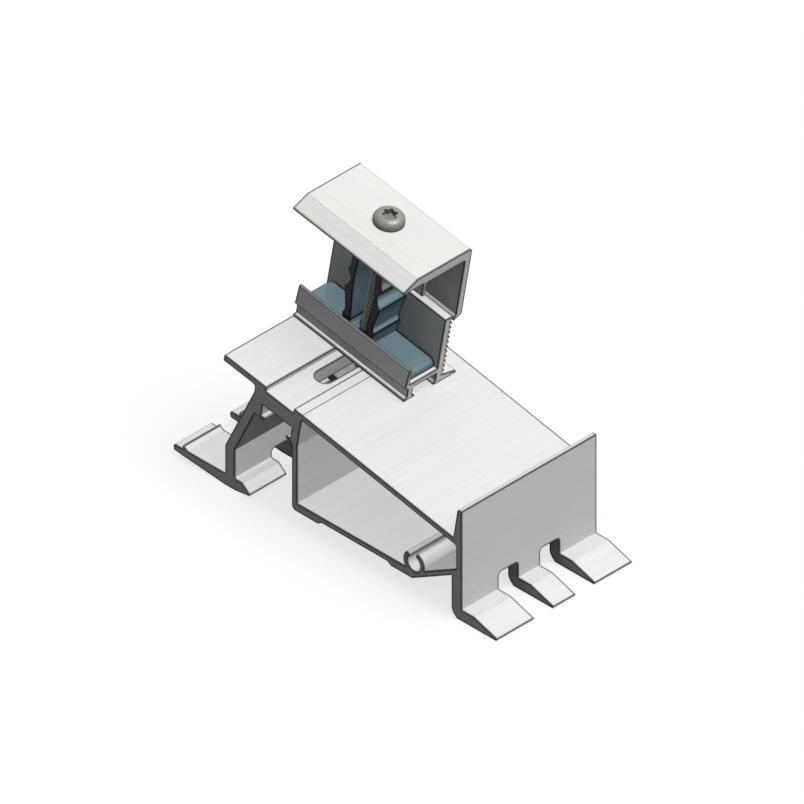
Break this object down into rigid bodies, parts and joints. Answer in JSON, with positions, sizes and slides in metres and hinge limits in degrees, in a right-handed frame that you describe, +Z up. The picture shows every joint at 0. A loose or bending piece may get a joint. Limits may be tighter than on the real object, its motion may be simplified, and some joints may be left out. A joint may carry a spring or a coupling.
{
  "type": "solar mounting front foot with module clamp",
  "caption": "Extruded aluminium front foot for a flat-roof solar mounting, with a height-adjusting module clamp on its sloping ledge.",
  "frame": {"origin": "on the ground, at the middle of the foot's length and width", "axes": "+X from the heel to the toe, +Y across the foot along the extrusion, +Z up"},
  "size_m": [0.1438, 0.06, 0.1031],
  "materials": {
    "mill_aluminium": "satin, extruded",
    "clamp_aluminium": "satin, extruded",
    "teal_plastic": "matte",
    "screw_steel": "satin",
    "nut_metal": "satin"
  },
  "bodies": {
    "foot": {"base_foot": "mill_aluminium"},
    "carriage": {"clamp_base": "clamp_aluminium", "height_insert": "teal_plastic", "slot_nut": "nut_metal"},
    "head": {"clamp_head": "clamp_aluminium"},
    "screw": {"clamp_screw": "screw_steel"}
  },
  "joints": [
    {"name": "clamp_slide", "type": "slide", "parent": "foot", "child": "carriage", "axis": [0, 1, 0], "range_m": [-0.0188, 0.0011]},
    {"name": "head_slide", "type": "slide", "parent": "carriage", "child": "head", "axis": [-0.1736, 0, -0.9848], "range_m": [0, 0.02], "deforming": ["height_insert"]},
    {"name": "screw_turn", "type": "hinge", "parent": "head", "child": "screw", "pos_m": [-0.02463, 0.00885, 0.04537], "axis": [-0.1736, 0, -0.9848], "range_deg": [0, 7200]}
  ],
  "couplings": [
    {"joint": "screw_turn", "follows": "head_slide", "rad_per_m": 6283.2}
  ]
}
